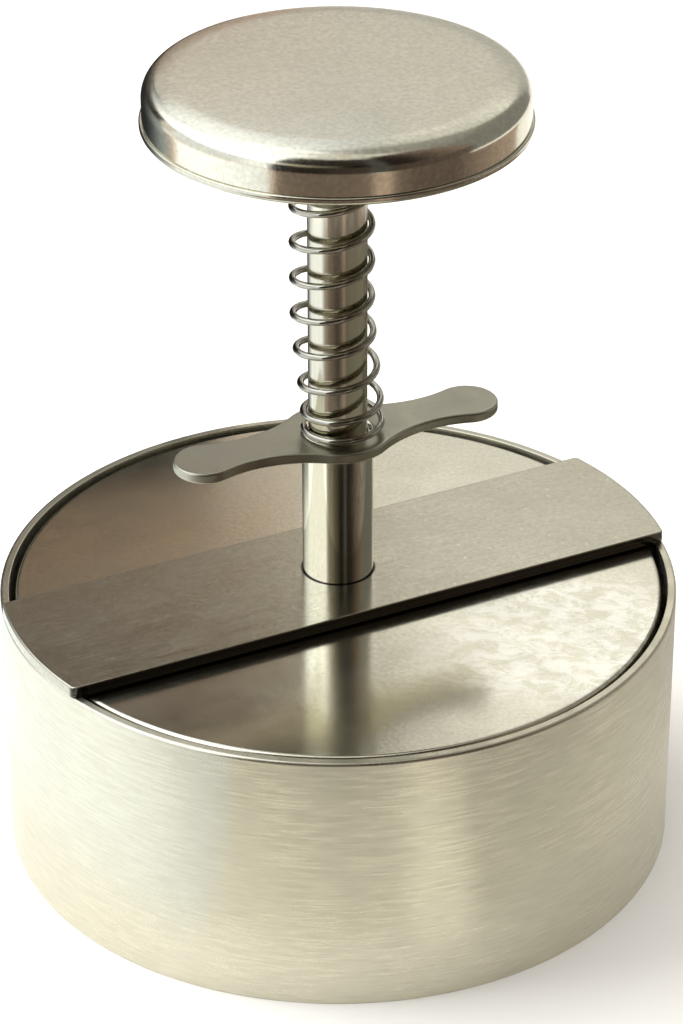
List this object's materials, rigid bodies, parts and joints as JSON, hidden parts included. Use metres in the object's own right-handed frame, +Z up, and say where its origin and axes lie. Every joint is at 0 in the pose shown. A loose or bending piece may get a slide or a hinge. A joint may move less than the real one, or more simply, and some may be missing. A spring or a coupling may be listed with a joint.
{
  "type": "patty press",
  "caption": "Stainless steel hand press for meat patties: round mould ring, bridge bar, finger wing, and a sprung plunger with round press plate and mushroom cap.",
  "frame": {"origin": "centre of the mould ring's lower edge, on the surface that the press stands on", "axes": "+Z up along the plunger, the object's longest extent; +X along the bridge bar"},
  "size_m": [0.115, 0.115, 0.1398],
  "materials": {
    "ring_steel": "fine horizontal brushing",
    "bar_steel": "satin, brushed along its length",
    "plate_steel": "satin mill finish with smudges",
    "sleeve_steel": "mirror polished",
    "wing_steel": "tumbled satin",
    "rod_steel": "satin, drawn",
    "spring_steel": "bright drawn wire",
    "cap_steel": "satin with fine scratches",
    "fastener_steel": "plain stainless",
    "washer_plastic": "natural white"
  },
  "bodies": {
    "frame": {"mould_ring": "ring_steel", "bridge_bar": "bar_steel", "bridge_welds": "fastener_steel", "guide_sleeve": "sleeve_steel", "wing_grip": "wing_steel", "return_spring": "spring_steel"},
    "spring_seat": {"spring_washer": "fastener_steel"},
    "plunger": {"plunger_rod": "rod_steel", "press_plate": "plate_steel", "stop_washer": "washer_plastic", "plate_screw": "fastener_steel", "cap_base": "cap_steel", "cap_nut": "fastener_steel", "cap_shell": "cap_steel"}
  },
  "joints": [
    {"name": "plunger_slide", "type": "slide", "parent": "frame", "child": "spring_seat", "axis": [0, 0, -1], "range_m": [0, 0.041], "stiffness_N_per_m": 870, "springref_m": -0.009, "deforming": ["return_spring"]},
    {"name": "plunger_turn", "type": "hinge", "parent": "spring_seat", "child": "plunger", "pos_m": [0, 0, 0.13], "axis": [0, 0, 1], "continuous": true}
  ]
}
